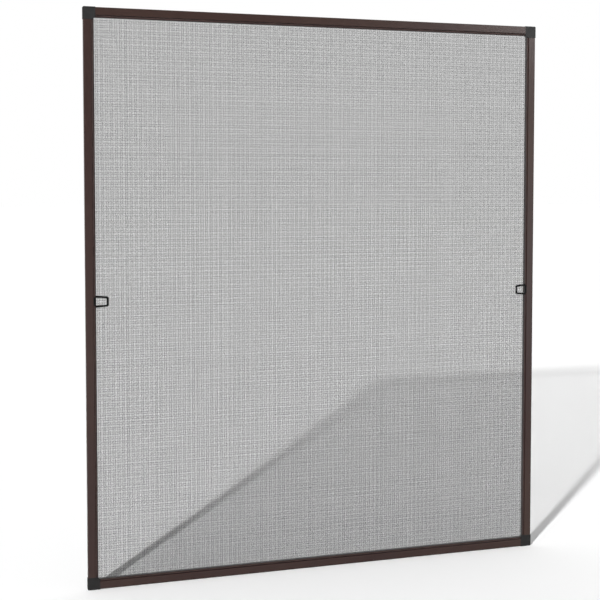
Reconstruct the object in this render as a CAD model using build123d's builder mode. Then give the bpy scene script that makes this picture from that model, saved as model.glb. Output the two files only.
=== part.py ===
from build123d import *
from math import cos, radians, sin
import os

os.makedirs("parts", exist_ok=True)

# Window insect screen, upright, in millimetres.
# X runs to the right, Y runs from the front to the back and Z runs up.
# The origin is at the bottom centre of the whole screen.

# Overall size over the corner blocks
screen_width = 1200.0
screen_height = 1400.0

# Aluminium profile: a hollow chamber with a spline groove in the front of its inner side
chamber_width = 18.8
profile_depth = 10.0
profile_wall = 1.1
groove_width = 5.0
groove_floor_depth = 5.2
lip_thickness = 1.2
lip_setback = 1.2
face_radius = 1.5
arris_radius = 0.5

# Corner blocks: moulded elbows, a little proud of the profiles, with ribbed legs in the chambers
corner_land = 4.2
corner_proud = 0.8
corner_front_proud = 0.4
corner_radius = 3.0
corner_inner_radius = 3.0
corner_edge_chamfer = 0.35
leg_length = 42.0
leg_clearance = 0.2
leg_rib_count = 5
leg_rib_width = 3.0
leg_rib_height = 0.6
leg_tip_length = 5.0
leg_tip_taper = 12.0

# Mesh: a thin wall opened by a grid of gaps, with its warp on the front and its weft on the back
mesh_thickness = 0.3
mesh_clearance = 0.2
mesh_tuck = 3.4
thread_pitch = 20.0
thread_width = 2.0
thread_height = 0.15
thread_margin = 3.0
threads_per_band = 2
gap_columns = 10
gap_rows = 12
gap_share = 0.64

# Spline: a ribbed cord pressed into the groove over the edge of the mesh
spline_diameter = 4.0
spline_rib_count = 8
spline_rib_depth = 0.2
spline_end_gap = 0.3

# Pull loops: tapered rings that lean off the mesh to let a finger in, each with a tongue
# between the groove wall and the spline
loop_reach = 30.0
loop_lean = 9.0
loop_base_height = 29.0
loop_tip_height = 24.5
loop_bar = 5.0
loop_base_bar = 1.6
loop_thickness = 2.0
loop_proud = 1.4
loop_corner_radius = 5.0
loop_base_chamfer = 1.2
loop_edge_chamfer = 0.5
tongue_thickness = 0.6
tongue_height = 20.0
tongue_floor_gap = 0.4

# Hooks: bent strips screwed to the back of the rails, open towards the outer edge
hook_width = 18.0
hook_thickness = 1.2
hook_reach = 8.0
hook_foot = 9.5
hook_leg = 7.5
hook_web_inset = 8.8
hook_bend_radius = 1.6
hook_corner_chamfer = 2.0
hook_inset = 180.0

# Screws: one hexagon-headed screw through the foot of each hook
screw_diameter = 2.9
screw_length = 6.5
screw_head_width = 5.0
screw_head_height = 2.2
screw_clearance = 0.15

# Places worked out from the sizes above
profile_width = chamber_width + groove_width + lip_thickness
elbow_width = corner_proud + profile_width
corner_arm = elbow_width + corner_land
loop_length = loop_base_bar + loop_reach
loop_sink = loop_thickness - loop_proud
lean_along = cos(radians(loop_lean))
lean_out = sin(radians(loop_lean))
loop_front = (loop_length - loop_edge_chamfer) * lean_out + loop_thickness * lean_along - loop_sink
total_depth = loop_front + profile_depth + hook_reach
front_y = loop_front - total_depth / 2
back_y = front_y + profile_depth
half_width = screen_width / 2
mid_z = screen_height / 2
profile_x = half_width - corner_proud
profile_low = corner_proud
profile_high = screen_height - corner_proud
stile_length = screen_height - 2 * corner_arm
rail_length = screen_width - 2 * corner_arm
opening_width = 2 * (profile_x - profile_width)
opening_height = profile_high - profile_low - 2 * profile_width
mesh_front_depth = lip_setback - mesh_thickness
tuck_inset = chamber_width + groove_width - mesh_thickness

# Each side has a plane across its middle: x runs inward from the outer edge of the
# profile and y runs back from its front face
left_plane = Plane(origin=(-profile_x, front_y, mid_z), x_dir=(1, 0, 0), z_dir=(0, 0, 1))
right_plane = Plane(origin=(profile_x, front_y, mid_z), x_dir=(-1, 0, 0), z_dir=(0, 0, -1))
top_plane = Plane(origin=(0, front_y, profile_high), x_dir=(0, 0, -1), z_dir=(1, 0, 0))
bottom_plane = Plane(origin=(0, front_y, profile_low), x_dir=(0, 0, 1), z_dir=(-1, 0, 0))
sides = {
    "left": (left_plane, stile_length),
    "right": (right_plane, stile_length),
    "top": (top_plane, rail_length),
    "bottom": (bottom_plane, rail_length),
}
profile_names = {
    "left": "left_stile",
    "right": "right_stile",
    "top": "top_rail",
    "bottom": "bottom_rail",
}

# Each corner has a plane on the front face: x and y run inward along its two arms and
# z runs to the back
corners = {
    "top_left": Plane(origin=(-half_width, front_y, screen_height), x_dir=(1, 0, 0), z_dir=(0, 1, 0)),
    "top_right": Plane(origin=(half_width, front_y, screen_height), x_dir=(0, 0, -1), z_dir=(0, 1, 0)),
    "bottom_right": Plane(origin=(half_width, front_y, 0), x_dir=(-1, 0, 0), z_dir=(0, 1, 0)),
    "bottom_left": Plane(origin=(-half_width, front_y, 0), x_dir=(0, 0, 1), z_dir=(0, 1, 0)),
}

# Hooks stand at the same distance from both ends of the rails
hook_x = half_width - hook_inset
hook_sides = {"left": -hook_x, "right": hook_x}
screw_inset = hook_web_inset + hook_foot / 2
screw_heights = {"top": profile_high - screw_inset, "bottom": profile_low + screw_inset}


def finish(piece, name):
    """Label a finished piece and write it out."""
    piece.part.label = name
    export_step(piece.part, f"parts/{name}.step")


def profile_section():
    """Hollow chamber, groove floor and inner leg, drawn in a side's plane."""
    groove_span = groove_width + lip_thickness
    leg_height = profile_depth - lip_setback
    corner = (Align.MIN, Align.MIN)
    with BuildSketch() as section:
        Rectangle(chamber_width, profile_depth, align=corner)
        with Locations((chamber_width, groove_floor_depth)):
            Rectangle(groove_span, profile_wall, align=corner)
        with Locations((chamber_width + groove_width, lip_setback)):
            Rectangle(lip_thickness, leg_height, align=corner)
        fillet(section.vertices().sort_by_distance((0, 0, 0))[0], face_radius)
        soft_corners = [
            (0, profile_depth, 0),
            (chamber_width, 0, 0),
            (chamber_width, profile_depth, 0),
            (profile_width, profile_depth, 0),
        ]
        for place in soft_corners:
            fillet(section.vertices().sort_by_distance(place)[0], arris_radius)
        with Locations((profile_wall, profile_wall)):
            Rectangle(
                chamber_width - 2 * profile_wall,
                profile_depth - 2 * profile_wall,
                align=corner,
                mode=Mode.SUBTRACT,
            )
    return section.sketch


def screw_seat(rail, side):
    """Plane on the back face of a rail where a hook's screw goes in, facing back."""
    return Plane(origin=(hook_sides[side], back_y, screw_heights[rail]), z_dir=(0, 1, 0))


# Stiles and rails: four cut lengths of the same profile, with screw holes behind the rails
for side, (plane, length) in sides.items():
    with BuildPart() as profile:
        with BuildSketch(plane):
            add(profile_section())
        extrude(amount=length / 2, both=True)
        if side in screw_heights:
            with Locations(*[screw_seat(side, end) for end in hook_sides]):
                Hole(radius=screw_diameter / 2 + screw_clearance, depth=2 * profile_wall)
    finish(profile, profile_names[side])


# Corner blocks: an elbow over the ends of two profiles and a leg inside each of them
leg_middle = corner_proud + chamber_width / 2
leg_width = chamber_width - 2 * (profile_wall + leg_clearance)
leg_depth = profile_depth - 2 * (profile_wall + leg_clearance)
leg_core_width = leg_width - 2 * leg_rib_height
leg_core_depth = leg_depth - 2 * leg_rib_height
leg_rib_step = (leg_length - leg_rib_width) / (leg_rib_count - 1)

for name, plane in corners.items():
    along_x = Plane(
        origin=plane.from_local_coords((corner_arm, leg_middle, profile_depth / 2)),
        x_dir=plane.y_dir,
        z_dir=plane.x_dir,
    )
    along_y = Plane(
        origin=plane.from_local_coords((leg_middle, corner_arm, profile_depth / 2)),
        x_dir=plane.x_dir,
        z_dir=plane.y_dir,
    )
    with BuildPart() as corner_block:
        with BuildSketch(plane.offset(-corner_front_proud)) as elbow:
            with BuildLine():
                Polyline(
                    (0, 0),
                    (corner_arm, 0),
                    (corner_arm, elbow_width),
                    (elbow_width, elbow_width),
                    (elbow_width, corner_arm),
                    (0, corner_arm),
                    close=True,
                )
            make_face()
            fillet(elbow.vertices().sort_by_distance((0, 0, 0))[0], corner_radius)
            inside = (elbow_width, elbow_width, 0)
            fillet(elbow.vertices().sort_by_distance(inside)[0], corner_inner_radius)
        extrude(amount=corner_front_proud + profile_depth)
        chamfer(corner_block.faces().sort_by(Axis.Y)[0].edges(), corner_edge_chamfer)
        for leg in (along_x, along_y):
            with BuildSketch(leg):
                Rectangle(leg_core_width, leg_core_depth)
            extrude(amount=leg_length)
            with BuildSketch(leg.offset(leg_length)):
                Rectangle(leg_core_width, leg_core_depth)
            extrude(amount=leg_tip_length, taper=leg_tip_taper)
            with BuildSketch(*[leg.offset(leg_rib_step * index) for index in range(leg_rib_count)]):
                Rectangle(leg_width, leg_depth)
            extrude(amount=leg_rib_width)
    finish(corner_block, f"corner_{name}")


# Mesh: one wall over the opening and the lips, turned into the groove along each side
cell_width = opening_width / gap_columns
cell_height = opening_height / gap_rows
warp_length = opening_height - 2 * thread_margin
weft_length = opening_width - 2 * thread_margin
mesh_width = 2 * (profile_x - tuck_inset)
mesh_height = profile_high - profile_low - 2 * tuck_inset
mesh_plane = Plane(origin=(0, front_y + lip_setback, mid_z), x_dir=(1, 0, 0), z_dir=(0, -1, 0))

with BuildPart() as insect_mesh:
    with BuildSketch(mesh_plane):
        RectangleRounded(
            opening_width - 2 * mesh_clearance,
            opening_height - 2 * mesh_clearance,
            corner_inner_radius - mesh_clearance,
        )
        Rectangle(mesh_width, stile_length - 2 * mesh_clearance)
        Rectangle(rail_length - 2 * mesh_clearance, mesh_height)
    extrude(amount=mesh_thickness)
    for plane, length in sides.values():
        with BuildSketch(plane):
            with Locations((tuck_inset, mesh_front_depth)):
                Rectangle(mesh_thickness, mesh_thickness + mesh_tuck, align=(Align.MIN, Align.MIN))
        extrude(amount=length / 2 - mesh_clearance, both=True)
    with BuildSketch(mesh_plane.offset(mesh_thickness)):
        with GridLocations(cell_width, 0, gap_columns - 1, 1):
            with GridLocations(thread_pitch, 0, threads_per_band, 1):
                Rectangle(thread_width, warp_length)
    extrude(amount=thread_height)
    with BuildSketch(mesh_plane):
        with GridLocations(0, cell_height, 1, gap_rows - 1):
            with GridLocations(0, thread_pitch, 1, threads_per_band):
                Rectangle(weft_length, thread_width)
    extrude(amount=-thread_height)
    with BuildSketch(mesh_plane):
        with GridLocations(cell_width, cell_height, gap_columns, gap_rows):
            Rectangle(gap_share * cell_width, gap_share * cell_height)
    extrude(amount=mesh_thickness, mode=Mode.SUBTRACT)
finish(insect_mesh, "insect_mesh")


# Splines: ribbed cords that rest on the groove floor and press on the turned edge of the mesh
spline_radius = spline_diameter / 2
spline_place = (tuck_inset - spline_radius, groove_floor_depth - spline_radius)

for side, (plane, length) in sides.items():
    with BuildPart() as spline:
        with BuildSketch(plane):
            with Locations(spline_place):
                RegularPolygon(spline_radius - spline_rib_depth, spline_rib_count)
                with PolarLocations(spline_radius - spline_rib_depth, spline_rib_count):
                    RegularPolygon(spline_rib_depth, 4)
        extrude(amount=length / 2 - spline_end_gap, both=True)
    finish(spline, f"spline_{side}")


# Pull loops: a tapered ring, leaning about its base, and a tongue that drops into the groove
loop_start = profile_width - loop_base_bar
loop_slope = (loop_base_height - loop_tip_height) / 2 / loop_length
bridge_width = loop_start + loop_base_bar / 2 - chamber_width
tongue_depth = groove_floor_depth - tongue_floor_gap


def loop_half_height(reach):
    """Half of the loop's outer height at a distance from the start of its base."""
    return loop_base_height / 2 - loop_slope * reach


def loop_outline(start, end, trim):
    """Corner points of the loop's outline, or of its window when trimmed by the bar."""
    low = loop_half_height(start) - trim
    high = loop_half_height(end) - trim
    return [(start, -low), (end, -high), (end, high), (start, low)]


for side in ("left", "right"):
    side_plane = sides[side][0]
    loop_base = side_plane.from_local_coords((loop_start, loop_sink, 0))
    reach_dir = side_plane.x_dir * lean_along - side_plane.y_dir * lean_out
    leaning = Plane(origin=loop_base, x_dir=reach_dir, z_dir=side_plane.z_dir.cross(reach_dir))
    with BuildPart() as pull_loop:
        with BuildSketch(leaning) as ring:
            with BuildLine():
                Polyline(*loop_outline(0, loop_length, 0), close=True)
            make_face()
            fillet(ring.vertices().group_by(Axis.X)[-1], loop_corner_radius)
            chamfer(ring.vertices().group_by(Axis.X)[0], loop_base_chamfer)
        extrude(amount=-loop_thickness)
        with BuildSketch(leaning) as window:
            with BuildLine():
                Polyline(*loop_outline(loop_base_bar, loop_length - loop_bar, loop_bar), close=True)
            make_face()
            chamfer(window.vertices(), loop_base_chamfer)
        extrude(amount=-loop_thickness, mode=Mode.SUBTRACT)
        rims = pull_loop.faces().filter_by(Axis(leaning.origin, leaning.z_dir))
        chamfer(rims.edges(), loop_edge_chamfer)
        with BuildSketch(side_plane):
            with Locations((chamber_width, 0)):
                Rectangle(bridge_width, loop_sink, align=(Align.MIN, Align.MIN))
                Rectangle(tongue_thickness, tongue_depth, align=(Align.MIN, Align.MIN))
        extrude(amount=tongue_height / 2, both=True)
    finish(pull_loop, f"pull_loop_{side}")


# Hooks: strips bent twice, with a foot on the rail and a leg that stands off behind it
for rail in screw_heights:
    rail_plane = sides[rail][0]
    for side, place_x in hook_sides.items():
        middle = Plane(
            origin=(place_x, front_y, rail_plane.origin.Z),
            x_dir=rail_plane.x_dir,
            z_dir=rail_plane.z_dir,
        )
        foot_depth = profile_depth + hook_thickness / 2
        leg_back = profile_depth + hook_reach - hook_thickness / 2
        with BuildPart() as hook:
            with BuildSketch(middle):
                with BuildLine():
                    FilletPolyline(
                        (hook_web_inset + hook_foot, foot_depth),
                        (hook_web_inset, foot_depth),
                        (hook_web_inset, leg_back),
                        (hook_web_inset - hook_leg, leg_back),
                        radius=hook_bend_radius,
                    )
                trace(line_width=hook_thickness)
            extrude(amount=hook_width / 2, both=True)
            strip_ends = hook.edges().filter_by(Axis.Y).group_by(Axis.Z)
            chamfer(strip_ends[0] + strip_ends[-1], hook_corner_chamfer)
            with Locations(screw_seat(rail, side).offset(hook_thickness)):
                Hole(radius=screw_diameter / 2 + screw_clearance, depth=2 * hook_thickness)
        finish(hook, f"hook_{rail}_{side}")


# Screws: heads on the feet of the hooks, with shanks through the rail's back wall
seats = [screw_seat(rail, side).offset(hook_thickness) for rail in screw_heights for side in hook_sides]

with BuildPart() as hook_screws:
    with BuildSketch(*seats):
        RegularPolygon(screw_head_width / 2, 6, major_radius=False)
    extrude(amount=screw_head_height)
    with BuildSketch(*seats):
        Circle(screw_diameter / 2)
    extrude(amount=-screw_length)
finish(hook_screws, "hook_screws")
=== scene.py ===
"""Looks of a framed window insect screen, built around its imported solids."""

import math

import bpy
import numpy
from bpy.props import FloatProperty, FloatVectorProperty, IntProperty, PointerProperty
from mathutils import Matrix, Vector


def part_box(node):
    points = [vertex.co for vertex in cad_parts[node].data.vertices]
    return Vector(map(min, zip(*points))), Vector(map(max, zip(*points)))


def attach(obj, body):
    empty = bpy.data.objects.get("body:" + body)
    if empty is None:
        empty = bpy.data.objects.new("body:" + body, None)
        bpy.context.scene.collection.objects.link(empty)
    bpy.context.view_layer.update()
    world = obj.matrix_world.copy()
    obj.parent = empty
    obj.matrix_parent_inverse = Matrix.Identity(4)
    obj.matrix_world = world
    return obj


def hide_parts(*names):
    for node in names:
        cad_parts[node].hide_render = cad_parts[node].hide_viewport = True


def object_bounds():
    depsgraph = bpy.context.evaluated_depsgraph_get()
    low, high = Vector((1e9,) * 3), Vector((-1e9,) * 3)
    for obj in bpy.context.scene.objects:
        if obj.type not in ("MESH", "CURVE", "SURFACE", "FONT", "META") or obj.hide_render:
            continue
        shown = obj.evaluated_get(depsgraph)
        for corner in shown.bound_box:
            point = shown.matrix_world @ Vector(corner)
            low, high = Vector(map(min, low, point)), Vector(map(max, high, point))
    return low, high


bl_info = {
    "name": "Window Insect Screen",
    "version": (1, 0, 0),
    "blender": (4, 5, 0),
    "location": "View3D > Sidebar > Insect Screen",
    "description": "Weaves the mesh and finishes the frame of a window insect screen",
    "category": "Object",
}

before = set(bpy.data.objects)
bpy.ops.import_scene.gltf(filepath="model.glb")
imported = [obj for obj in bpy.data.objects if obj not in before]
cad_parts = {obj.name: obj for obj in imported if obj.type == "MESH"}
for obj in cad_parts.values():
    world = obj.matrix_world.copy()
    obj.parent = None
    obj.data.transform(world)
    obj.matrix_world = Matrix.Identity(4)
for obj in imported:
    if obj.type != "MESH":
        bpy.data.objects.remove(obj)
CAD_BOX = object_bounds()

SIDES = ("left", "right", "top", "bottom")
CORNERS = ("top_left", "top_right", "bottom_left", "bottom_right")
PROFILES = ("left_stile", "right_stile", "top_rail", "bottom_rail")
MESH_LOW, MESH_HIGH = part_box("insect_mesh")
# Height of the ridges that stand in front of the solid mesh
MESH_RIDGE = 0.00015
FLOOR_REACH = 60.0
SHEEN_SIDE = 1.0
SURROUND_BLEND = 0.3


# Node helpers

def add_node(tree, kind, **settings):
    """Add a node and set its properties by name."""
    node = tree.nodes.new(kind)
    for key, value in settings.items():
        setattr(node, key, value)
    return node


def start_material(name):
    """Return a new material's tree, its shader and the object coordinates."""
    material = bpy.data.materials.new(name)
    material.use_nodes = True
    tree = material.node_tree
    shader = tree.nodes["Principled BSDF"]
    place = add_node(tree, "ShaderNodeTexCoord").outputs["Object"]
    return material, tree, shader, place


def noise(tree, place, scale, detail=2.0, stretch=(1.0, 1.0, 1.0)):
    """Noise on object coordinates, stretched along the axes; returns its value."""
    mapping = add_node(tree, "ShaderNodeMapping")
    mapping.inputs["Scale"].default_value = stretch
    texture = add_node(tree, "ShaderNodeTexNoise")
    texture.inputs["Scale"].default_value = scale
    texture.inputs["Detail"].default_value = detail
    tree.links.new(place, mapping.inputs["Vector"])
    tree.links.new(mapping.outputs["Vector"], texture.inputs["Vector"])
    return texture.outputs["Fac"]


def ramp(tree, value, low, high):
    """Colour ramp between two (place, colour) stops; returns its colour."""
    node = add_node(tree, "ShaderNodeValToRGB")
    for stop, (place, colour) in zip(node.color_ramp.elements, (low, high)):
        stop.position = place
        stop.color = (*colour, 1.0)
    tree.links.new(value, node.inputs["Fac"])
    return node.outputs["Color"]


def spread(tree, value, low, high):
    """Map a noise value, which stays near the middle, onto a range."""
    node = add_node(tree, "ShaderNodeMapRange")
    node.inputs["From Min"].default_value = 0.3
    node.inputs["From Max"].default_value = 0.7
    node.inputs["To Min"].default_value = low
    node.inputs["To Max"].default_value = high
    tree.links.new(value, node.inputs["Value"])
    return node.outputs["Result"]


def bump(tree, shader, height, depth, strength=1.0):
    """Give a shader a fine relief of a depth in metres."""
    node = add_node(tree, "ShaderNodeBump")
    node.inputs["Strength"].default_value = strength
    node.inputs["Distance"].default_value = depth
    tree.links.new(height, node.inputs["Height"])
    tree.links.new(node.outputs["Normal"], shader.inputs["Normal"])


def shade(colour, factor):
    """Lighten or darken a colour."""
    return tuple(channel * factor for channel in colour)


def finish_node(name, material):
    """Give a solid of the frame its finish."""
    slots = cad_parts[name].data.materials
    slots.clear()
    slots.append(material)


# Finishes

def powder_coat(colour, roughness):
    """Satin dark brown coat on aluminium: fine orange peel, slight cloudiness and a drift in hue."""
    material, tree, shader, place = start_material("brown_powder_coat")
    drift = noise(tree, place, 2.4, detail=1.0)
    redder = (colour[0] * 0.86, colour[1] * 0.8, colour[2] * 0.84)
    yellower = (colour[0] * 1.16, colour[1] * 1.22, colour[2] * 1.12)
    tone = ramp(tree, drift, (0.36, redder), (0.64, yellower))
    white = (1.0, 1.0, 1.0)
    patches = noise(tree, place, 45.0, detail=4.0)
    cloud = ramp(tree, patches, (0.3, shade(white, 0.96)), (0.7, shade(white, 1.04)))
    blend = add_node(tree, "ShaderNodeMix", data_type="RGBA", blend_type="MULTIPLY")
    blend.inputs["Factor"].default_value = 1.0
    tree.links.new(tone, blend.inputs[6])
    tree.links.new(cloud, blend.inputs[7])
    tree.links.new(blend.outputs[2], shader.inputs["Base Color"])
    gloss = spread(tree, noise(tree, place, 60.0), roughness - 0.02, roughness + 0.02)
    tree.links.new(gloss, shader.inputs["Roughness"])
    shader.inputs["Specular IOR Level"].default_value = 0.25
    bump(tree, shader, noise(tree, place, 1400.0, detail=1.0), 0.000015)
    return material


def moulded_plastic(name, colour, roughness, grain, gloss_level):
    """Moulded plastic or rubber with a fine spark-eroded grain."""
    material, tree, shader, place = start_material(name)
    tone = ramp(tree, noise(tree, place, 40.0), (0.35, shade(colour, 0.85)), (0.65, shade(colour, 1.2)))
    tree.links.new(tone, shader.inputs["Base Color"])
    gloss = spread(tree, noise(tree, place, 300.0), roughness - 0.06, roughness + 0.06)
    tree.links.new(gloss, shader.inputs["Roughness"])
    shader.inputs["Specular IOR Level"].default_value = gloss_level
    bump(tree, shader, noise(tree, place, 2200.0, detail=2.0), grain)
    return material


def zinc_plate(colour, roughness):
    """Zinc plated steel with the soft streaks of a rolled strip."""
    material, tree, shader, place = start_material("zinc_plate")
    streaks = noise(tree, place, 700.0, detail=3.0, stretch=(0.12, 1.0, 1.0))
    tone = ramp(tree, streaks, (0.3, shade(colour, 0.85)), (0.7, shade(colour, 1.1)))
    tree.links.new(tone, shader.inputs["Base Color"])
    tree.links.new(spread(tree, streaks, roughness - 0.08, roughness + 0.1), shader.inputs["Roughness"])
    shader.inputs["Metallic"].default_value = 1.0
    bump(tree, shader, streaks, 0.00002)
    return material


def coated_thread(colour, tone_range):
    """Grey coated fibreglass thread, lighter or darker from thread to thread and along each one."""
    material, tree, shader, place = start_material("coated_thread")
    own_tone = add_node(tree, "ShaderNodeAttribute", attribute_name="tone").outputs["Fac"]
    flecks = spread(tree, noise(tree, place, 60.0, detail=2.0), -0.35, 0.35)
    mixed = add_node(tree, "ShaderNodeMath", operation="ADD", use_clamp=True)
    tree.links.new(own_tone, mixed.inputs[0])
    tree.links.new(flecks, mixed.inputs[1])
    low, high = shade(colour, 1.0 - tone_range), shade(colour, 1.0 + tone_range)
    tree.links.new(ramp(tree, mixed.outputs[0], (0.0, low), (1.0, high)), shader.inputs["Base Color"])
    gloss = spread(tree, noise(tree, place, 900.0), 0.5, 0.65)
    tree.links.new(gloss, shader.inputs["Roughness"])
    shader.inputs["Specular IOR Level"].default_value = 0.2
    return material


# Weave: rows of threads as Geometry Nodes

def thread_row_tree():
    """Node group: a row of parallel threads along X, side by side along Z, grouped as a reed leaves them."""
    tree = bpy.data.node_groups.new("thread_row", "GeometryNodeTree")
    face = tree.interface
    for name, kind in (
        ("Count", "NodeSocketInt"),
        ("Pitch", "NodeSocketFloat"),
        ("Length", "NodeSocketFloat"),
        ("Width", "NodeSocketFloat"),
        ("Thickness", "NodeSocketFloat"),
        ("Wander", "NodeSocketFloat"),
        ("Reed Group", "NodeSocketFloat"),
        ("Reed Shift", "NodeSocketFloat"),
        ("Dent Shift", "NodeSocketFloat"),
        ("Uneven", "NodeSocketFloat"),
        ("Upright", "NodeSocketFloat"),
        ("Seed", "NodeSocketInt"),
    ):
        face.new_socket(name, in_out="INPUT", socket_type=kind)
    face.new_socket("Threads", in_out="OUTPUT", socket_type="NodeSocketGeometry")
    source = add_node(tree, "NodeGroupInput").outputs
    links = tree.links

    def math_node(operation, first, second):
        node = add_node(tree, "ShaderNodeMath", operation=operation)
        for socket, value in zip(node.inputs, (first, second)):
            if isinstance(value, (int, float)):
                socket.default_value = value
            else:
                links.new(value, socket)
        return node.outputs[0]

    def random_value(low, high, seed_offset):
        node = add_node(tree, "FunctionNodeRandomValue", data_type="FLOAT")
        links.new(math_node("ADD", source["Seed"], seed_offset), node.inputs["Seed"])
        for name, value in (("Min", low), ("Max", high)):
            socket = [s for s in node.inputs if s.name == name and s.type == "VALUE"][0]
            if isinstance(value, (int, float)):
                socket.default_value = value
            else:
                links.new(value, socket)
        return [s for s in node.outputs if s.type == "VALUE"][0]

    def combine(x, y, z):
        node = add_node(tree, "ShaderNodeCombineXYZ")
        for socket, value in zip(node.inputs, (x, y, z)):
            if isinstance(value, (int, float)):
                socket.default_value = value
            else:
                links.new(value, socket)
        return node.outputs[0]

    row = add_node(tree, "GeometryNodeMeshLine", mode="OFFSET")
    links.new(source["Count"], row.inputs["Count"])
    half = math_node("MULTIPLY", math_node("SUBTRACT", source["Count"], 1.0), -0.5)
    links.new(combine(0.0, 0.0, math_node("MULTIPLY", half, source["Pitch"])), row.inputs["Start Location"])
    links.new(combine(0.0, 0.0, source["Pitch"]), row.inputs["Offset"])

    # The reed draws groups of threads together, its dents draw each half of a group together,
    # and each thread wanders a little from its place
    shift = add_node(tree, "GeometryNodeSetPosition")
    links.new(row.outputs["Mesh"], shift.inputs["Geometry"])
    negative = math_node("MULTIPLY", source["Wander"], -1.0)
    index = add_node(tree, "GeometryNodeInputIndex").outputs[0]
    turn = math_node("DIVIDE", math_node("MULTIPLY", index, 2.0 * math.pi), source["Reed Group"])
    by_group = math_node("MULTIPLY", math_node("SINE", turn, 0.0), source["Reed Shift"])
    half_turn = math_node("MULTIPLY", turn, 2.0)
    by_dent = math_node("MULTIPLY", math_node("SINE", half_turn, 0.0), source["Dent Shift"])
    drawn = math_node("ADD", by_group, by_dent)
    stray = math_node("ADD", drawn, random_value(negative, source["Wander"], 0))
    links.new(combine(0.0, 0.0, stray), shift.inputs["Offset"])

    # One thread is a slim six-sided bar with three lengths, sized by its own scale
    bar = add_node(tree, "GeometryNodeMeshCylinder", fill_type="NGON")
    bar.inputs["Vertices"].default_value = 6
    bar.inputs["Side Segments"].default_value = 3
    bar.inputs["Radius"].default_value = 0.5
    bar.inputs["Depth"].default_value = 1.0
    lay = add_node(tree, "GeometryNodeTransform")
    links.new(bar.outputs["Mesh"], lay.inputs["Geometry"])
    lay.inputs["Rotation"].default_value = (0.0, math.pi / 2, 0.0)

    threads = add_node(tree, "GeometryNodeInstanceOnPoints")
    links.new(shift.outputs["Geometry"], threads.inputs["Points"])
    links.new(lay.outputs["Geometry"], threads.inputs["Instance"])
    slim = math_node("SUBTRACT", 1.0, source["Uneven"])
    full = math_node("ADD", 1.0, source["Uneven"])
    width = math_node("MULTIPLY", source["Width"], random_value(slim, full, 1))
    links.new(combine(source["Length"], source["Thickness"], width), threads.inputs["Scale"])

    made = threads.outputs["Instances"]
    for name, value in (("tone", random_value(0.0, 1.0, 2)), ("upright", source["Upright"])):
        store = add_node(tree, "GeometryNodeStoreNamedAttribute", data_type="FLOAT", domain="INSTANCE")
        store.inputs["Name"].default_value = name
        links.new(made, store.inputs["Geometry"])
        links.new(value, [s for s in store.inputs if s.name == "Value"][0])
        made = store.outputs["Geometry"]
    links.new(made, add_node(tree, "NodeGroupOutput").inputs["Threads"])
    return tree


def weave_tree():
    """Node group: upright warp threads and level weft threads, joined into one mesh."""
    row = thread_row_tree()
    tree = bpy.data.node_groups.new("insect_weave", "GeometryNodeTree")
    face = tree.interface
    for name, kind in (
        ("Width", "NodeSocketFloat"),
        ("Height", "NodeSocketFloat"),
        ("Warp Length", "NodeSocketFloat"),
        ("Weft Length", "NodeSocketFloat"),
        ("Pitch", "NodeSocketFloat"),
        ("Warp Width", "NodeSocketFloat"),
        ("Weft Width", "NodeSocketFloat"),
        ("Thickness", "NodeSocketFloat"),
        ("Wander", "NodeSocketFloat"),
        ("Reed Group", "NodeSocketFloat"),
        ("Reed Shift", "NodeSocketFloat"),
        ("Dent Shift", "NodeSocketFloat"),
        ("Uneven", "NodeSocketFloat"),
        ("Seed", "NodeSocketInt"),
        ("Material", "NodeSocketMaterial"),
    ):
        face.new_socket(name, in_out="INPUT", socket_type=kind)
    face.new_socket("Geometry", in_out="OUTPUT", socket_type="NodeSocketGeometry")
    source = add_node(tree, "NodeGroupInput").outputs
    links = tree.links
    both = add_node(tree, "GeometryNodeJoinGeometry")
    for across, along, width, turn, seed_step in (
        ("Width", "Warp Length", "Warp Width", math.pi / 2, 0),
        ("Height", "Weft Length", "Weft Width", 0.0, 10),
    ):
        threads = add_node(tree, "GeometryNodeGroup", node_tree=row)
        count = add_node(tree, "ShaderNodeMath", operation="DIVIDE")
        links.new(source[across], count.inputs[0])
        links.new(source["Pitch"], count.inputs[1])
        seed = add_node(tree, "ShaderNodeMath", operation="ADD")
        links.new(source["Seed"], seed.inputs[0])
        seed.inputs[1].default_value = seed_step
        links.new(count.outputs[0], threads.inputs["Count"])
        links.new(seed.outputs[0], threads.inputs["Seed"])
        links.new(source[along], threads.inputs["Length"])
        links.new(source[width], threads.inputs["Width"])
        threads.inputs["Upright"].default_value = 1.0 if turn else 0.0
        for name in ("Pitch", "Thickness", "Wander", "Reed Group", "Reed Shift", "Dent Shift", "Uneven"):
            links.new(source[name], threads.inputs[name])
        stand = add_node(tree, "GeometryNodeTransform")
        links.new(threads.outputs["Threads"], stand.inputs["Geometry"])
        stand.inputs["Rotation"].default_value = (0.0, turn, 0.0)
        links.new(stand.outputs["Geometry"], both.inputs["Geometry"])
    realize = add_node(tree, "GeometryNodeRealizeInstances")
    paint = add_node(tree, "GeometryNodeSetMaterial")
    links.new(both.outputs["Geometry"], realize.inputs["Geometry"])
    links.new(realize.outputs["Geometry"], paint.inputs["Geometry"])
    links.new(source["Material"], paint.inputs["Material"])
    links.new(paint.outputs["Geometry"], add_node(tree, "NodeGroupOutput").inputs["Geometry"])
    return tree


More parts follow.
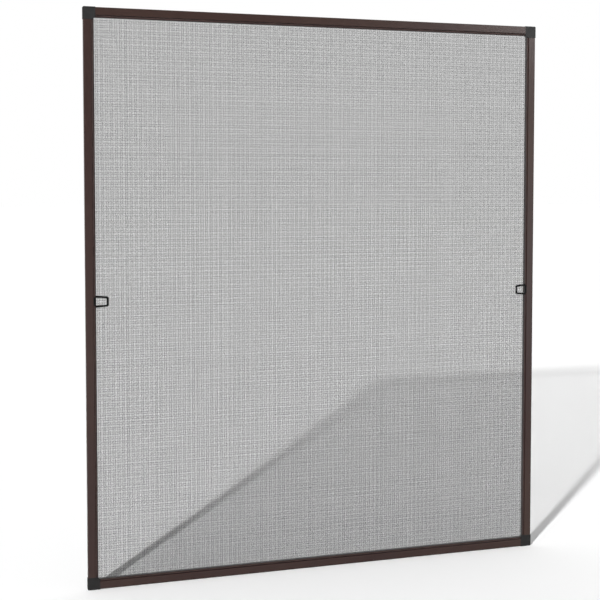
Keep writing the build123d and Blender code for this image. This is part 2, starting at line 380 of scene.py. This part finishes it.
def plain_mesh_from_nodes(name, tree, values):
    """Run a node tree on an empty object and keep the result as a plain mesh."""
    holder = bpy.data.objects.new(name + "_holder", bpy.data.meshes.new(name + "_holder"))
    bpy.context.scene.collection.objects.link(holder)
    modifier = holder.modifiers.new("weave", "NODES")
    modifier.node_group = tree
    for item in tree.interface.items_tree:
        if item.item_type == "SOCKET" and item.in_out == "INPUT":
            modifier[item.identifier] = values[item.name]
    depsgraph = bpy.context.evaluated_depsgraph_get()
    mesh = bpy.data.meshes.new_from_object(holder.evaluated_get(depsgraph), depsgraph=depsgraph)
    holder.modifiers.remove(modifier)
    bpy.data.objects.remove(holder)
    mesh.name = name
    piece = bpy.data.objects.new(name, mesh)
    bpy.context.scene.collection.objects.link(piece)
    return piece


def fold_threads(mesh, half_spans, tuck, layer_step):
    """Turn the ends of straight threads back into the groove, and lay warp in front of weft."""
    count = len(mesh.vertices)
    places = numpy.empty(count * 3)
    mesh.vertices.foreach_get("co", places)
    places = places.reshape(count, 3)
    upright = numpy.empty(count)
    mesh.attributes["upright"].data.foreach_get("value", upright)
    for axis, threads in ((0, upright < 0.5), (2, upright >= 0.5)):
        half = half_spans[axis]
        along = places[threads, axis]
        offset = places[threads, 1]
        side = numpy.sign(along)
        at_end = numpy.abs(along) > 0.6 * half
        corner = side * (half - offset)
        places[threads, axis] = corner
        places[threads, 1] = numpy.where(at_end, tuck, offset)
        places[threads, 1] += layer_step if axis == 0 else -layer_step
    mesh.vertices.foreach_set("co", places.ravel())
    mesh.attributes.remove(mesh.attributes["upright"])


def trim_at_corners(mesh, reach, opening):
    """End the threads that meet a corner block at the opening's edge."""
    count = len(mesh.vertices)
    places = numpy.empty(count * 3)
    mesh.vertices.foreach_get("co", places)
    places = places.reshape(count, 3)
    for across, along in ((0, 2), (2, 0)):
        beside = numpy.abs(places[:, across]) > reach[across]
        past = beside & (numpy.abs(places[:, along]) > opening[along])
        places[past, along] = numpy.sign(places[past, along]) * opening[along]
    mesh.vertices.foreach_set("co", places.ravel())


# Settings that a user would change

class FrameFinish(bpy.types.PropertyGroup):
    """Colours and gloss of the frame's solids."""

    brown: FloatVectorProperty(
        name="Powder coat", description="Colour of the aluminium profiles",
        default=(0.0295, 0.0152, 0.0131), size=3, subtype="COLOR", min=0.0, max=1.0)
    coat_roughness: FloatProperty(
        name="Coat roughness", description="Roughness of the powder coat",
        default=0.30, min=0.0, max=1.0, subtype="FACTOR")
    corner_black: FloatVectorProperty(
        name="Corner blocks", description="Colour of the moulded corner blocks",
        default=(0.011, 0.0105, 0.0105), size=3, subtype="COLOR", min=0.0, max=1.0)
    loop_black: FloatVectorProperty(
        name="Pull loops", description="Colour of the pull loops",
        default=(0.003, 0.003, 0.003), size=3, subtype="COLOR", min=0.0, max=1.0)
    spline_brown: FloatVectorProperty(
        name="Spline", description="Colour of the cord in the groove",
        default=(0.042, 0.025, 0.0225), size=3, subtype="COLOR", min=0.0, max=1.0)
    zinc: FloatVectorProperty(
        name="Hooks", description="Colour of the plated hooks and screws",
        default=(0.55, 0.55, 0.53), size=3, subtype="COLOR", min=0.0, max=1.0)


class WeaveSizes(bpy.types.PropertyGroup):
    """Sizes of the woven mesh."""

    pitch: FloatProperty(
        name="Pitch", description="Distance from one thread to the next",
        default=0.00145, min=0.0008, max=0.01, unit="LENGTH", precision=5)
    warp_width: FloatProperty(
        name="Warp width", description="Width of an upright thread",
        default=0.00052, min=0.0001, max=0.004, unit="LENGTH", precision=5)
    weft_width: FloatProperty(
        name="Weft width", description="Width of a level thread",
        default=0.00050, min=0.0001, max=0.004, unit="LENGTH", precision=5)
    thickness: FloatProperty(
        name="Thickness", description="Thickness of a thread",
        default=0.00024, min=0.0001, max=0.002, unit="LENGTH", precision=5)
    wander: FloatProperty(
        name="Wander", description="How far a thread strays from its even place",
        default=0.00004, min=0.0, max=0.002, unit="LENGTH", precision=5)
    reed_group: FloatProperty(
        name="Reed group", description="Threads from one reed mark to the next", default=8.0, min=2.0)
    reed_shift: FloatProperty(
        name="Reed shift", description="How far the reed draws a group of threads together",
        default=0.00024, min=0.0, max=0.002, unit="LENGTH", precision=5)
    dent_shift: FloatProperty(
        name="Dent shift", description="How far a dent of the reed draws half a group together",
        default=0.00028, min=0.0, max=0.002, unit="LENGTH", precision=5)
    uneven: FloatProperty(
        name="Uneven", description="How much the threads differ in width",
        default=0.08, min=0.0, max=0.9, subtype="FACTOR")
    seed: IntProperty(
        name="Seed", description="Seed of the weave's small irregularities", default=7, min=0)
    grey: FloatVectorProperty(
        name="Thread", description="Colour of the coated thread",
        default=(0.0325, 0.033, 0.0335), size=3, subtype="COLOR", min=0.0, max=1.0)
    tone_range: FloatProperty(
        name="Tone range", description="How much the threads differ in tone",
        default=0.4, min=0.0, max=1.0, subtype="FACTOR")


class StudioSettings(bpy.types.PropertyGroup):
    """Camera, lamp and floor."""

    camera_place: FloatVectorProperty(
        name="Camera", description="Place of the camera",
        default=(-1.0307, -2.9444, 0.9738), size=3, subtype="TRANSLATION")
    camera_yaw: FloatProperty(
        name="Yaw", description="Turn of the camera to the right of straight ahead",
        default=math.radians(18.271), subtype="ANGLE")
    camera_pitch: FloatProperty(
        name="Pitch", description="Tilt of the camera below level",
        default=math.radians(3.022), subtype="ANGLE")
    lens: FloatProperty(
        name="Lens", description="Focal length in millimetres on a 36 mm frame", default=73.82, min=10.0)
    shift: FloatProperty(name="Shift", description="Vertical lens shift", default=-0.08)
    lamp_place: FloatVectorProperty(
        name="Lamp", description="Place of the key lamp",
        default=(-4.18, -5.2425, 4.02), size=3, subtype="TRANSLATION")
    lamp_size: FloatProperty(
        name="Lamp size", description="Radius of the key lamp, which softens the shadow",
        default=0.15, min=0.0, unit="LENGTH")
    lamp_level: FloatProperty(
        name="Lamp level", description="Brightness of a white card that faces the key lamp",
        default=1.25, min=0.0)
    mesh_pass: FloatProperty(
        name="Mesh pass", description="Share of the key light that the mesh leaves whole, beside its gaps",
        default=0.33, min=0.0, max=1.0, subtype="FACTOR")
    upper_sheen_place: FloatVectorProperty(
        name="Upper sheen", description="Place of the panel reflected in the upper right corner",
        default=(2.45, -2.33, 2.30), size=3, subtype="TRANSLATION")
    upper_sheen_level: FloatProperty(
        name="Upper sheen level", description="Brightness of the upper panel", default=22.0, min=0.0)
    side_sheen_place: FloatVectorProperty(
        name="Side sheen", description="Place of the panel reflected in the right stile",
        default=(2.35, -2.55, 0.65), size=3, subtype="TRANSLATION")
    side_sheen_level: FloatProperty(
        name="Side sheen level", description="Brightness of the side panel", default=3.0, min=0.0)
    fill: FloatProperty(
        name="Fill", description="Level of the even light from the front", default=0.26, min=0.0)
    rear_fill: FloatProperty(
        name="Rear fill", description="Level of the even light from behind", default=0.7, min=0.0)
    floor_grey: FloatProperty(
        name="Floor", description="Lightness of the floor", default=0.95, min=0.0, max=1.0, subtype="FACTOR")
    floor_white: FloatProperty(
        name="Floor white", description="Level at which the camera sees the lit floor", default=1.02, min=0.0)


# Operators

class INSECT_SCREEN_OT_coat_profiles(bpy.types.Operator):
    """Give the stiles and rails their brown powder coat"""

    bl_idname = "insect_screen.coat_profiles"
    bl_label = "Coat profiles"

    def execute(self, context):
        look = context.scene.screen_finish
        coat = powder_coat(tuple(look.brown), look.coat_roughness)
        for name in PROFILES:
            finish_node(name, coat)
        return {"FINISHED"}


class INSECT_SCREEN_OT_mould_plastics(bpy.types.Operator):
    """Give the corner blocks, pull loops and splines their moulded finishes"""

    bl_idname = "insect_screen.mould_plastics"
    bl_label = "Mould plastics"

    def execute(self, context):
        look = context.scene.screen_finish
        block = moulded_plastic("corner_plastic", tuple(look.corner_black), 0.55, 0.00004, 0.2)
        loop = moulded_plastic("loop_plastic", tuple(look.loop_black), 0.5, 0.00002, 0.1)
        cord = moulded_plastic("spline_cord", tuple(look.spline_brown), 0.6, 0.00003, 0.2)
        for name in CORNERS:
            finish_node("corner_" + name, block)
        for name in ("left", "right"):
            finish_node("pull_loop_" + name, loop)
        for name in SIDES:
            finish_node("spline_" + name, cord)
        return {"FINISHED"}


class INSECT_SCREEN_OT_plate_hooks(bpy.types.Operator):
    """Give the hooks and their screws a zinc plated finish"""

    bl_idname = "insect_screen.plate_hooks"
    bl_label = "Plate hooks"

    def execute(self, context):
        plate = zinc_plate(tuple(context.scene.screen_finish.zinc), 0.35)
        for name in CORNERS:
            finish_node("hook_" + name, plate)
        finish_node("hook_screws", plate)
        return {"FINISHED"}


class INSECT_SCREEN_OT_weave_mesh(bpy.types.Operator):
    """Weave the insect mesh from single threads in place of its plain solid"""

    bl_idname = "insect_screen.weave_mesh"
    bl_label = "Weave mesh"

    def execute(self, context):
        sizes = context.scene.screen_weave
        width = MESH_HIGH.x - MESH_LOW.x
        height = MESH_HIGH.z - MESH_LOW.z
        rail_low, rail_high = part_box("bottom_rail")
        stile_low, stile_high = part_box("left_stile")
        tuck = MESH_HIGH.y - MESH_LOW.y - MESH_RIDGE - sizes.thickness
        values = {
            "Width": width - sizes.pitch,
            "Height": height - sizes.pitch,
            "Warp Length": height + 2 * tuck,
            "Weft Length": width + 2 * tuck,
            "Pitch": sizes.pitch,
            "Warp Width": sizes.warp_width,
            "Weft Width": sizes.weft_width,
            "Thickness": sizes.thickness,
            "Wander": sizes.wander,
            "Reed Group": sizes.reed_group,
            "Reed Shift": sizes.reed_shift,
            "Dent Shift": sizes.dent_shift,
            "Uneven": sizes.uneven,
            "Seed": sizes.seed,
            "Material": coated_thread(tuple(sizes.grey), sizes.tone_range),
        }
        weave = plain_mesh_from_nodes("woven_mesh", weave_tree(), values)
        if len(weave.data.polygons) == 0:
            raise RuntimeError("The weave came out empty")
        half_thread = sizes.thickness / 2
        half_spans = (width / 2 - half_thread, 0.0, height / 2 - half_thread)
        fold_threads(weave.data, half_spans, tuck, sizes.thickness / 4)
        middle = (stile_low.z + stile_high.z) / 2
        opening = (-stile_high.x, 0.0, middle - rail_high.z)
        trim_at_corners(weave.data, (rail_high.x, 0.0, stile_high.z - middle), opening)
        weave.data.transform(Matrix.Translation((0.0, MESH_LOW.y + MESH_RIDGE + half_thread, middle)))
        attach(weave, "root")
        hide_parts("insect_mesh")
        return {"FINISHED"}


class INSECT_SCREEN_OT_set_stage(bpy.types.Operator):
    """Put up the floor, the lamp, the even light and the camera"""

    bl_idname = "insect_screen.set_stage"
    bl_label = "Set stage"

    def execute(self, context):
        studio = context.scene.screen_studio
        build_floor(studio)
        build_lights(studio)
        build_camera(studio)
        context.scene.view_settings.view_transform = "Standard"
        return {"FINISHED"}


def build_floor(studio):
    """Wide pale floor that keeps the screen's shadow and reads as white around it."""
    mesh = bpy.data.meshes.new("floor")
    low = CAD_BOX[0][2]
    signs = ((-1, -1), (1, -1), (1, 1), (-1, 1))
    corners = [(x * FLOOR_REACH, y * FLOOR_REACH, low) for x, y in signs]
    mesh.from_pydata(corners, [], [(0, 1, 2, 3)])
    floor = bpy.data.objects.new("floor", mesh)
    bpy.context.scene.collection.objects.link(floor)
    material = bpy.data.materials.new("pale_floor")
    material.use_nodes = True
    tree = material.node_tree
    tree.nodes.clear()
    matt = add_node(tree, "ShaderNodeBsdfDiffuse")
    matt.inputs["Color"].default_value = (studio.floor_grey, studio.floor_grey, studio.floor_grey, 1.0)
    white = add_node(tree, "ShaderNodeEmission")
    lamp_height = studio.lamp_place[2] - low
    place = add_node(tree, "ShaderNodeTexCoord").outputs["Object"]
    distance = add_node(tree, "ShaderNodeVectorMath", operation="DISTANCE")
    distance.inputs[1].default_value = studio.lamp_place
    lamp_share = add_node(tree, "ShaderNodeMath", operation="DIVIDE")
    lamp_share.inputs[0].default_value = studio.floor_grey * studio.lamp_level * lamp_height
    missing = add_node(tree, "ShaderNodeMath", operation="SUBTRACT")
    all_round = (studio.fill + studio.rear_fill) / 2
    missing.inputs[0].default_value = studio.floor_white - studio.floor_grey * all_round
    strength = add_node(tree, "ShaderNodeMath", operation="MULTIPLY")
    both = add_node(tree, "ShaderNodeAddShader")
    output = add_node(tree, "ShaderNodeOutputMaterial")
    tree.links.new(place, distance.inputs[0])
    tree.links.new(distance.outputs["Value"], lamp_share.inputs[1])
    tree.links.new(lamp_share.outputs[0], missing.inputs[1])
    tree.links.new(missing.outputs[0], strength.inputs[0])
    tree.links.new(camera_ray(tree), strength.inputs[1])
    tree.links.new(strength.outputs[0], white.inputs["Strength"])
    tree.links.new(matt.outputs[0], both.inputs[0])
    tree.links.new(white.outputs[0], both.inputs[1])
    tree.links.new(both.outputs[0], output.inputs["Surface"])
    mesh.materials.append(material)


def camera_ray(tree):
    """One for rays from the camera, zero for the rest."""
    return add_node(tree, "ShaderNodeLightPath").outputs["Is Camera Ray"]


def build_lights(studio):
    """Key lamp, a white surround that is brighter behind, and two panels that show only as a sheen."""
    solids = bpy.data.collections.new("solid_blockers")
    for name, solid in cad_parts.items():
        if name != "insect_mesh":
            solids.objects.link(solid)
    passed = studio.lamp_level * studio.mesh_pass
    build_lamp("key_lamp", studio, studio.lamp_level - passed)
    through_mesh = build_lamp("key_lamp_through_mesh", studio, passed)
    through_mesh.light_linking.blocker_collection = solids
    right, top = CAD_BOX[1][0], CAD_BOX[1][2]
    build_sheen("upper_sheen", studio.upper_sheen_place, (right, 0.0, top), studio.upper_sheen_level)
    build_sheen("side_sheen", studio.side_sheen_place, (right, 0.0, top / 2), studio.side_sheen_level)
    world = bpy.data.worlds.new("even_surround")
    bpy.context.scene.world = world
    world.use_nodes = True
    tree = world.node_tree
    background = tree.nodes["Background"]
    background.inputs["Color"].default_value = (1.0, 1.0, 1.0, 1.0)
    direction = add_node(tree, "ShaderNodeTexCoord").outputs["Generated"]
    parts = add_node(tree, "ShaderNodeSeparateXYZ")
    around = add_node(tree, "ShaderNodeMapRange")
    around.inputs["From Min"].default_value = -SURROUND_BLEND
    around.inputs["From Max"].default_value = SURROUND_BLEND
    around.inputs["To Min"].default_value = studio.fill
    around.inputs["To Max"].default_value = studio.rear_fill
    level = add_node(tree, "ShaderNodeMapRange")
    level.inputs["To Max"].default_value = 1.0
    tree.links.new(direction, parts.inputs["Vector"])
    tree.links.new(parts.outputs["Y"], around.inputs["Value"])
    tree.links.new(around.outputs["Result"], level.inputs["To Min"])
    tree.links.new(camera_ray(tree), level.inputs["Value"])
    tree.links.new(level.outputs["Result"], background.inputs["Strength"])


def build_lamp(name, studio, level):
    """Soft key lamp of even strength at any distance; a white card that faces it shows the level."""
    data = bpy.data.lights.new(name, "POINT")
    data.energy = 4.0 * math.pi ** 2 * level
    data.shadow_soft_size = studio.lamp_size
    data.use_nodes = True
    tree = data.node_tree
    falloff = add_node(tree, "ShaderNodeLightFalloff")
    falloff.inputs["Strength"].default_value = 1.0
    tree.links.new(falloff.outputs["Constant"], tree.nodes["Emission"].inputs["Strength"])
    lamp = bpy.data.objects.new(name, data)
    lamp.location = studio.lamp_place
    lamp.visible_camera = False
    bpy.context.scene.collection.objects.link(lamp)
    return lamp


def build_sheen(name, place, target, level):
    """Square panel that the frame reflects and that lights nothing else."""
    data = bpy.data.lights.new(name, "AREA")
    data.size = SHEEN_SIDE
    data.energy = math.pi * SHEEN_SIDE ** 2 * level
    panel = bpy.data.objects.new(name, data)
    panel.location = place
    aim = Vector(target) - panel.location
    panel.rotation_euler = aim.to_track_quat("-Z", "Y").to_euler()
    panel.visible_camera = False
    panel.visible_diffuse = False
    bpy.context.scene.collection.objects.link(panel)


def build_camera(studio):
    """Camera at the photograph's angle."""
    data = bpy.data.cameras.new("camera")
    data.lens = studio.lens
    data.sensor_width = 36.0
    data.shift_y = studio.shift
    data.clip_end = 200.0
    camera = bpy.data.objects.new("camera", data)
    camera.location = studio.camera_place
    camera.rotation_euler = (math.pi / 2 - studio.camera_pitch, 0.0, -studio.camera_yaw)
    bpy.context.scene.collection.objects.link(camera)
    bpy.context.scene.camera = camera


class INSECT_SCREEN_PT_sidebar(bpy.types.Panel):
    """Lists the steps and their settings in the 3D view's sidebar"""

    bl_label = "Insect Screen"
    bl_idname = "INSECT_SCREEN_PT_sidebar"
    bl_space_type = "VIEW_3D"
    bl_region_type = "UI"
    bl_category = "Insect Screen"

    def draw(self, context):
        layout = self.layout
        for operator in OPERATORS:
            layout.operator(operator.bl_idname)
        for settings in SETTINGS:
            group = getattr(context.scene, settings)
            box = layout.box()
            for name in group.__annotations__:
                box.prop(group, name)


SETTINGS = {
    "screen_finish": FrameFinish,
    "screen_weave": WeaveSizes,
    "screen_studio": StudioSettings,
}
OPERATORS = (
    INSECT_SCREEN_OT_coat_profiles,
    INSECT_SCREEN_OT_mould_plastics,
    INSECT_SCREEN_OT_plate_hooks,
    INSECT_SCREEN_OT_weave_mesh,
    INSECT_SCREEN_OT_set_stage,
)


def register():
    for group in SETTINGS.values():
        bpy.utils.register_class(group)
    for operator in OPERATORS:
        bpy.utils.register_class(operator)
    bpy.utils.register_class(INSECT_SCREEN_PT_sidebar)
    for name, group in SETTINGS.items():
        setattr(bpy.types.Scene, name, PointerProperty(type=group))


def unregister():
    for name in SETTINGS:
        delattr(bpy.types.Scene, name)
    bpy.utils.unregister_class(INSECT_SCREEN_PT_sidebar)
    for operator in reversed(OPERATORS):
        bpy.utils.unregister_class(operator)
    for group in reversed(tuple(SETTINGS.values())):
        bpy.utils.unregister_class(group)


def main():
    register()
    bpy.ops.insect_screen.coat_profiles()
    bpy.ops.insect_screen.mould_plastics()
    bpy.ops.insect_screen.plate_hooks()
    bpy.ops.insect_screen.weave_mesh()
    bpy.ops.insect_screen.set_stage()


if __name__ == "__main__":
    main()
